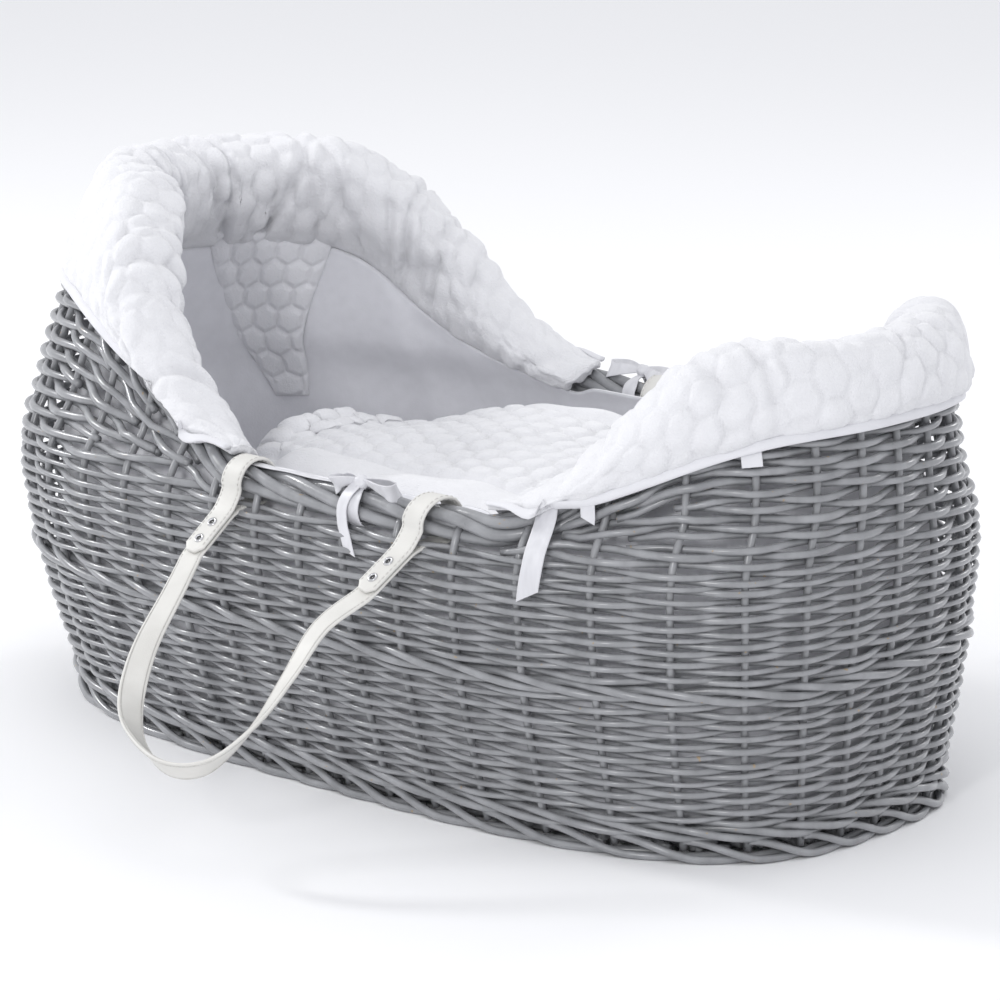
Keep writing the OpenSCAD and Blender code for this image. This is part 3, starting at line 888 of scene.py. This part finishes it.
def quilt():
    """Padded quilt that arches over the mattress, with its sides turned down and a plain border."""
    thick = 0.024
    up = np.array([0, 0, 1.0])
    loose, _, _, _ = quilt_middle(np.linspace(-1, 1, 58)[:, None], np.linspace(-1, 1, 60)[None, :], thick)
    # A light pressure from above beds the quilt down between its held edges
    settled = settle(loose, np.broadcast_to(-up, loose.shape), 0.010, pressure=1.5, spare=0.03)
    rows, cols = 240, 210
    u = np.linspace(-1, 1, rows)[:, None]
    v = np.linspace(-1, 1, cols)[None, :]
    middle, a, b, flat = quilt_middle(u, v, thick)
    calm = 1 - rise(np.abs(u), 0.78, 0.96)
    middle = middle + finer(settled - loose, rows, cols) * calm[..., None]
    normals = facing(grid_normals(middle), np.broadcast_to(up, middle.shape))
    end = np.sqrt(np.clip(1 - (np.clip(np.abs(u) - 0.88, 0, 0.12) / 0.12) ** 2, 0, 1))
    side = np.sqrt(np.clip(1 - (np.clip(np.abs(v) - 0.94, 0, 0.06) / 0.06) ** 2, 0, 1))
    puff = np.minimum(end, side)
    wobble_a = a + 0.003 * swells(a, b, 0.10, 31)
    wobble_b = b + 0.003 * swells(a, b, 0.10, 32)
    fold = flat.max() - np.where(b < 0, 0.030, 0.0)
    border = rise(np.abs(b), fold - 0.006, fold + 0.004)
    hexes = dimples(wobble_b, wobble_a, dimple) * (1 - border)
    hexes = hexes * (0.8 + 0.2 * swells(a, b, 0.09, 35).clip(-1, 1))
    groove = (0.003 * border - 0.0055 * np.exp(-((np.abs(b) - fold) / 0.006) ** 2)) * calm
    lumps = 0.0045 * swells(a, b, 0.13, 33) + 0.0020 * swells(a, b, 0.045, 34) * border
    lift = 0.0046 * hexes + groove + lumps
    outer = middle + normals * ((thick / 2 + lift) * puff)[..., None]
    inner = middle - normals * (thick / 2 * puff)[..., None]
    ring = np.concatenate([outer, inner[:, ::-1]], 1)
    faces = grid_faces(rows, 2 * cols, wrap_cols=True)
    for i in (0, rows - 1):
        for j in range(cols - 1):
            k = 2 * cols - 1 - j
            base = i * 2 * cols
            quad = [base + j, base + j + 1, base + k - 1, base + k]
            faces.append(quad if i == 0 else quad[::-1])
    piece = add_piece("quilt_pad", ring, faces, white_plush, "dimple_plush", body="quilt",
                      stands_for=["quilt"])
    return piece


def mattress():
    """Foam mattress in a plain cover with a rounded piped edge."""
    low_corner, high_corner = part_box("mattress")
    t = np.arange(420) / 420
    height = high_corner.z - low_corner.z
    profile = [(0.0, 0.04), (0.0, 0.30), (0.0, 0.70), (0.0, 0.93), (0.004, 0.99), (0.012, 1.0)]
    rings = []
    for inside, share in profile:
        level = low_corner.z + height * share
        rings.append(skin(t, low_corner.z, 0.0235 + inside) * [1, 1, 0] + [0, 0, level])
    for shrink in (0.85, 0.6, 0.35, 0.1):
        rings.append(rings[5] * [shrink, shrink, 0] + [0, 0, high_corner.z - 0.0004])
    points = np.stack(rings)
    floor_ring = rings[0] * [1, 1, 0] + [0, 0, low_corner.z]
    points = np.concatenate([floor_ring[None], points])
    faces = grid_faces(len(points), len(t), wrap_cols=True)
    faces.append(list(range(len(t)))[::-1])
    faces.append([(len(points) - 1) * len(t) + j for j in range(len(t))])
    piece = add_piece("mattress_pad", points, faces, cotton, "mattress_cover", stands_for=["mattress"])
    return piece


def dressing():
    lining()
    head_panel()
    mattress()
    quilt()
    padded_roll("hood_padding", hood_from, 1 - hood_from, 0.040, 24, 41, "hood_roll")
    padded_roll("foot_padding", foot_from, foot_to, 0.030, 14, 43, "foot_roll")
    hem_tape("hood_hem", hood_from, 1 - hood_from, 0.040, "hood_binding")
    hem_tape("foot_hem", foot_from, foot_to, 0.030, "foot_binding")


# ---------------------------------------------------------------- straps and ribbons

def strap_frame(side):
    """Start of a strap's hinge line, the directions along it, out from it and across both, and its length."""
    shift = far_shift if side > 0 else 0
    head, foot = [border_mid(turn_at(x + shift)) * [1, side, 1] for x in (loop_head_x, loop_foot_x)]
    along_line = unit(foot - head)
    level_out = unit(np.array([-side * along_line[1], side * along_line[0], 0]))
    level_up = side * np.cross(along_line, level_out)
    out = math.cos(strap_rest) * level_out - math.sin(strap_rest) * level_up
    up = math.sin(strap_rest) * level_out + math.cos(strap_rest) * level_up
    return head, np.array([along_line, out, up]), np.linalg.norm(foot - head)


def loop_route(lean, start):
    """From a tab's tip round the border and back out under the tab, as (along, out, across)."""
    rows = [(w, layer) for w in (tab_l, 0.066, 0.058, 0.046, 0.036)] + [(0.028, layer + 0.001)]
    rows += [(loop_r * math.cos(a), loop_r * math.sin(a)) for a in np.radians(np.linspace(25, 335, 17))]
    rows += [(0.028, -layer - 0.001)] + [(w, -layer) for w in (0.036, 0.046, 0.058)]
    return np.array([(start + lean * w, w, across) for w, across in rows])


def sample(spots, at, values):
    """Rows of values, known at the distances at, read off at the distances spots."""
    return np.stack([np.interp(spots, at, column) for column in values.T], -1)


def smooth_path(path, pitch):
    """Evenly spaced points along a smooth curve through a path, with closer ones near both ends."""
    fine = through(path[None], np.linspace(0, 1, 30 * len(path))[None])[0]
    run = np.concatenate([[0], np.cumsum(np.linalg.norm(np.diff(fine, axis=0), axis=1))])
    ends = np.array([0, 0.0015, 0.0030, 0.0045, 0.0060])
    middle = np.linspace(0.009, run[-1] - 0.009, int(run[-1] / pitch))
    at = np.concatenate([ends, middle, run[-1] - ends[::-1]])
    place = np.interp(at, run, np.arange(len(fine)))
    return sample(place, np.arange(len(fine)), fine), at


def strap(side, name, node, rivets_node, body):
    """Flat strap looped round the border twice, with its tabs, edge stitches and eyelets, whose holes are
    closed by dark discs of painted shadow.
    """
    head, axes, span = strap_frame(side)
    arm = [(lean_head * tab_l, tab_l, -layer), (0.001, 0.108, 0), (0.010, 0.160, 0), (0.030, 0.205, 0),
           (0.058, 0.233, 0), (0.100, strap_reach, 0), (0.134, 0.238, 0), (0.150, 0.198, 0),
           (0.151, 0.152, 0), (0.150, 0.108, 0), (span + lean_foot * tab_l, tab_l, -layer)]
    last = len(arm) - 1
    place = np.linspace(0, last, 4 * last + 1)
    arch = np.stack([along(list(enumerate(column)), place) for column in zip(*arm)], -1)
    head_route = loop_route(lean_head, 0)
    foot_route = loop_route(lean_foot, span)[::-1]
    turned = math.pi * np.concatenate([0 * head_route[:, 0], rise(place, 0, last), 0 * foot_route[:, 0] + 1])
    route = np.concatenate([head_route, arch, foot_route])
    path, at = smooth_path(np.concatenate([route, turned[:, None]], 1), 0.003)
    turned = path[:, 3]
    path = head + path[:, :3] @ axes
    go = unit(np.gradient(path, axis=0))
    flat = np.cos(turned)[:, None] * axes[0] - np.sin(turned)[:, None] * axes[2]
    wide = unit(flat - (flat * go).sum(-1, keepdims=True) * go)
    face = side * np.cross(go, wide)
    from_end = np.minimum(at, at[-1] - at)
    half = strap_w / 2 * np.minimum(0.42 + 0.58 * from_end / 0.0060, 1)
    across = np.sin(np.linspace(-np.pi / 2, np.pi / 2, 31))
    seam_at = 0.78
    swell = (1 - np.abs(across) ** 7) ** 0.4 - 0.16 * np.exp(-((np.abs(across) - seam_at) / 0.06) ** 2)
    upper_side = np.stack([across, swell], -1)
    lower_side = (upper_side * [1, -1])[::-1]
    profile = np.concatenate([upper_side, lower_side[1:-1]])
    points = path[:, None] + wide[:, None] * (half[:, None] * profile[:, 0])[..., None] \
        + face[:, None] * (strap_t / 2 * profile[:, 1])[None, :, None]
    count, sides = points.shape[:2]
    faces = grid_faces(count, sides, wrap_cols=True)
    faces.append(list(range(sides))[::-1])
    faces.append([(count - 1) * sides + j for j in range(sides)])
    add_piece(name, points, faces, strap_white, "leatherette", body=body, stands_for=[node])

    stitches = Bundle()
    pitch = 0.0042
    for start in np.arange(0.008, at[-1] - 0.008, pitch):
        spots = start + np.array([0, 0.25, 0.5, 0.75, 1]) * pitch * 0.68
        mid, w, f = [sample(spots, at, values) for values in (path, wide, face)]
        lift = strap_t / 2 * (0.84 + 0.18 * np.array([-1, 0.7, 1, 0.7, -1]))
        for edge in (-1, 1):
            for surface in (-1, 1):
                line = mid + w * strap_w / 2 * seam_at * edge + f * (lift * surface)[:, None]
                stitches.rod(line, 0.00038, sides=5)
    stitches.piece(name + "_stitches", stitch_white, "leatherette", body=body)

    stack = layer + strap_t / 2
    rings = [(0.0020, -0.0004), (0.0020, 0.0003), (0.0025, 0.0010), (0.0033, 0.0011), (0.0040, 0.0005),
             (0.0042, -0.0003)]
    # Each eyelet's hole is closed by a dark disc at the strap's surface: painted shadow for the shade inside
    # the eyelet.
    hole = [(0.0004, 0.0002), (0.0021, 0.0002), (0.0021, -0.0004), (0.0004, -0.0004)]
    hole_shadows = []
    points = []
    faces = []
    turns = 2 * np.pi * np.arange(28) / 28
    circle = np.cos(turns)[:, None] * axes[0] + np.sin(turns)[:, None] * axes[1]
    for end, lean in ((0, lean_head), (span, lean_foot)):
        for w in rivet_at:
            middle = head + np.array([end + lean * w, w, 0]) @ axes
            for surface in (1, -1):
                spot = middle + axes[2] * surface * stack
                shape = np.array([spot + circle * r + axes[2] * surface * h for r, h in rings])
                faces += grid_faces(len(rings), 28, wrap_rows=True, wrap_cols=True, first=28 * len(points))
                points += list(shape)
                hole_shadows.append([spot + circle * r + axes[2] * surface * h for r, h in hole])
    add_piece(name + "_eyelets", points, faces, steel, "rivet_steel", body=body, stands_for=[rivets_node])
    hole_shadow_faces = []
    for k in range(len(hole_shadows)):
        hole_shadow_faces += grid_faces(4, 28, wrap_rows=True, wrap_cols=True, first=112 * k)
    add_piece(name + "_eyelet_hole_shadows", hole_shadows, hole_shadow_faces, painted_hole_shadow, "rivet_steel", body=body)


def ribbon(name, path, wide, width, material, slot, body="root", stands_for=(), thick=0.0007, slant=0.0):
    """Band of ribbon along a path, its width in the given directions and its last end cut at a slant."""
    path = np.asarray(path, float)
    wide = np.broadcast_to(np.asarray(wide, float), path.shape)
    width = np.broadcast_to(width, len(path))
    go = unit(np.gradient(path, axis=0))
    wide = unit(wide - (wide * go).sum(-1, keepdims=True) * go)
    face = np.cross(go, wide)
    across = np.linspace(-1, 1, 13)
    step = np.linspace(0, 1, len(path))[:, None, None]
    flat = path[:, None] + wide[:, None] * (across[None, :] * width[:, None] / 2)[..., None]
    flat = flat + go[:, None] * slant * across[None, :, None] * step
    upper = flat + face[:, None] * thick / 2
    lower = flat - face[:, None] * thick / 2
    ring = np.concatenate([upper, lower[:, ::-1]], 1)
    sides = ring.shape[1]
    faces = grid_faces(len(path), sides, wrap_cols=True)
    for i in (0, len(path) - 1):
        for j in range(len(across) - 1):
            k = sides - 1 - j
            quad = [i * sides + j, i * sides + j + 1, i * sides + k - 1, i * sides + k]
            faces.append(quad if i == 0 else quad[::-1])
    return add_piece(name, ring, faces, material, slot, body=body, stands_for=stands_for)


def bow(side, x, name, node):
    """Satin ribbon knotted over the border, with two loops and a hanging tail."""
    t = turn_at(x)
    middle = border_mid(t) * [1, side, 1]
    go = unit((border_mid(t - 0.002) - border_mid(t + 0.002)) * [1, side, 1])
    up = np.array([0, 0, 1.0])
    out = unit(np.array([-side * go[1], side * go[0], 0]))
    axes = np.array([go, out, up])
    reach = border_r + 0.0022

    a = np.radians(np.linspace(-80, 262, 60))
    pinch = 0.006 + 0.007 * rise(np.abs(a - np.pi / 2), 0.15, 1.0)
    band = np.stack([0 * a, reach * np.cos(a), reach * np.sin(a)], -1)
    ribbon(name + "_band", middle + band @ axes, go, pinch, satin, "satin", stands_for=[node])

    knot_at = middle + np.array([0, 0.004, reach + 0.0038]) @ axes
    u = np.linspace(0, np.pi, 22)[:, None]
    v = np.linspace(0, 2 * np.pi, 32, endpoint=False)[None, :]
    rumple = 1 + 0.07 * np.cos(5 * v + 2 * u) * np.sin(u)
    ball = np.stack([0.0062 * np.cos(u) + 0 * v, 0.0050 * rumple * np.sin(u) * np.cos(v),
                     0.0056 * rumple * np.sin(u) * np.sin(v)], -1)
    faces = grid_faces(22, 32, wrap_cols=True)
    add_piece(name + "_knot", knot_at + ball.reshape(-1, 3) @ axes, faces, satin, "satin")

    s = np.linspace(0, 1, 60)
    for which, length, droop, seed in ((1, 0.034, -0.004, 5), (-1, 0.024, -0.006, 6)):
        ahead = which * side * -1
        loop = np.stack([ahead * length * np.sin(np.pi * s) ** 0.8, 0.0075 * np.sin(2 * np.pi * s),
                         0.001 + droop * np.sin(np.pi * s) ** 2], -1)
        tilt = unit(up + 0.7 * out)
        breadth = 0.0050 + 0.0105 * np.sin(np.pi * s) ** 0.9
        path = knot_at + loop @ axes
        piece = ribbon(name + ("_loop" if which > 0 else "_back_loop"), path, tilt, breadth, satin, "satin")

    fall = np.array([(-0.002, 0.006, reach + 0.003), (-0.006, 0.013, 0.010), (-0.008, 0.0165, 0.001),
                     (-0.006, 0.0185, -0.010), (-0.002, 0.0195, -0.020), (0.002, 0.0200, -0.031)])
    fall[:, 0] *= -side
    path = middle + through(fall[None], np.linspace(0, 1, 40)[None])[0] @ axes
    piece = ribbon(name + "_tail", path, go + 0.12 * out, 0.0105, satin, "satin", slant=0.004)


def satin_band():
    """Satin ribbon laid along the inner side of the bare rim, under the near strap's loops."""
    t = np.linspace(turn_at(-0.070, -1), turn_at(near_bow_x, -1), 150)
    angle = np.radians(np.linspace(78, 150, 14))[None, :]
    mid = border_mid(t)
    outward = unit((skin(t, rim_h - border_r, 0) - skin(t, rim_h - border_r, 0.02)) * [1, 1, 0])
    ripple = 0.0005 * np.sin(t[:, None] * 260 + 3 * angle) * np.sin(angle * 4)
    shells = []
    for lift in (0.0144, 0.0137):
        radius = lift + ripple
        shells.append(mid[:, None] + outward[:, None] * (radius * np.cos(angle))[..., None]
                      + np.array([0, 0, 1.0]) * (radius * np.sin(angle))[..., None])
    ring = np.concatenate([shells[0], shells[1][:, ::-1]], 1)
    sides = ring.shape[1]
    faces = grid_faces(len(t), sides, wrap_cols=True)
    faces.append(list(range(sides))[::-1])
    faces.append([(len(t) - 1) * sides + j for j in range(sides)])
    piece = add_piece("satin_rim_band", ring, faces, satin, "satin")


def ribbons():
    bow(-1, near_bow_x, "near_bow", "bow_near")
    bow(1, far_bow_x, "far_bow", "bow_far")
    satin_band()
    u = np.linspace(0, 1, 40)
    t = turn_at(0.224, -1)
    z = 0.258 - 0.062 * u
    path = skin(t + 0.0012 * np.sin(3 * u), z, -0.0032 - 0.0015 * np.sin(4 * u))
    tail = ribbon("hanging_tail", path, skin(t + 0.01, 0.22) - skin(t - 0.01, 0.22), 0.0165, satin, "satin",
                  stands_for=["ribbon_tail"], slant=-0.006)
    t = turn_at(0.254, -1)
    path = skin(t + 0.001 * u, 0.263 - 0.012 * u, -0.0034)
    wrap = ribbon("ribbon_end", path, skin(t + 0.01, 0.24) - skin(t - 0.01, 0.24), 0.011, satin, "satin",
                  stands_for=["ribbon_wrap"], slant=0.003)
    t = turn_at(0.358, -1)
    top = hem_z(t) - 0.005
    path = skin(t + 0 * u, top - 0.0105 * u, -0.0022 - 0.0012 * u)
    tag = ribbon("blank_label", path, skin(t + 0.01, top) - skin(t - 0.01, top), 0.0150, tape, "satin",
                 stands_for=["blank_tag"])


def straps():
    strap(-1, "near_strap", "strap_near", "strap_near_rivets", "handle_near")
    strap(1, "far_strap", "strap_far", "strap_far_rivets", "handle_far")


# ---------------------------------------------------------------- stage

def area_light(name, place, target, size, power, colour=(1, 1, 1)):
    data = bpy.data.lights.new(name, "AREA")
    data.shape = "DISK"
    data.size = size
    data.energy = power
    data.color = colour
    lamp = bpy.data.objects.new(name, data)
    bpy.context.scene.collection.objects.link(lamp)
    lamp.location = place
    lamp.rotation_euler = (Vector(target) - Vector(place)).to_track_quat("-Z", "Y").to_euler()
    return lamp


def studio():
    """Pale floor, pale surroundings and large soft lights."""
    scene = bpy.context.scene
    floor_mesh = bpy.data.meshes.new("studio_floor")
    reach = 30.0
    corners = [(-reach, -reach, 0), (reach, -reach, 0), (reach, reach, 0), (-reach, reach, 0)]
    floor_mesh.from_pydata(corners, [], [(0, 1, 2, 3)])
    floor = bpy.data.objects.new("studio_floor", floor_mesh)
    scene.collection.objects.link(floor)
    material, nodes, links, shader = new_material("pale_floor")
    shader.inputs["Base Color"].default_value = (0.95, 0.95, 0.96, 1)
    shader.inputs["Roughness"].default_value = 0.9
    floor_mesh.materials.append(material)
    world = bpy.data.worlds.new("studio_air")
    world.use_nodes = True
    background = world.node_tree.nodes["Background"]
    background.inputs["Color"].default_value = (0.93, 0.94, 0.97, 1)
    background.inputs["Strength"].default_value = 0.88
    scene.world = world
    target = (0, 0, 0.2)
    area_light("key", (-2.6, -0.9, 1.9), target, 0.5, 30)
    area_light("front", (1.2, -3.0, 1.6), target, 0.5, 22)
    area_light("back", (0.4, 2.6, 1.6), target, 0.8, 10)
    area_light("above", (0.5, -0.6, 3.4), target, 2.4, 9)
    scene.view_settings.view_transform = "Standard"
    scene.view_settings.look = "None"


def camera():
    """Long-lens view from the near side of the foot end, a little above the rim."""
    data = bpy.data.cameras.new("camera")
    azimuth = math.radians(42.2)
    elevation = math.radians(13.82)
    distance = 3.478
    target = Vector((0.0070, -0.0026, 0.1915))
    back = Vector((math.sin(azimuth) * math.cos(elevation), -math.cos(azimuth) * math.cos(elevation),
                   math.sin(elevation)))
    data.sensor_width = 36
    data.lens = 161.6
    data.clip_end = 60
    eye = bpy.data.objects.new("camera", data)
    bpy.context.scene.collection.objects.link(eye)
    eye.location = target + back * distance
    eye.rotation_euler = (-back).to_track_quat("-Z", "Y").to_euler()
    bpy.context.scene.camera = eye


wicker()
dressing()
ribbons()
straps()
studio()
camera()
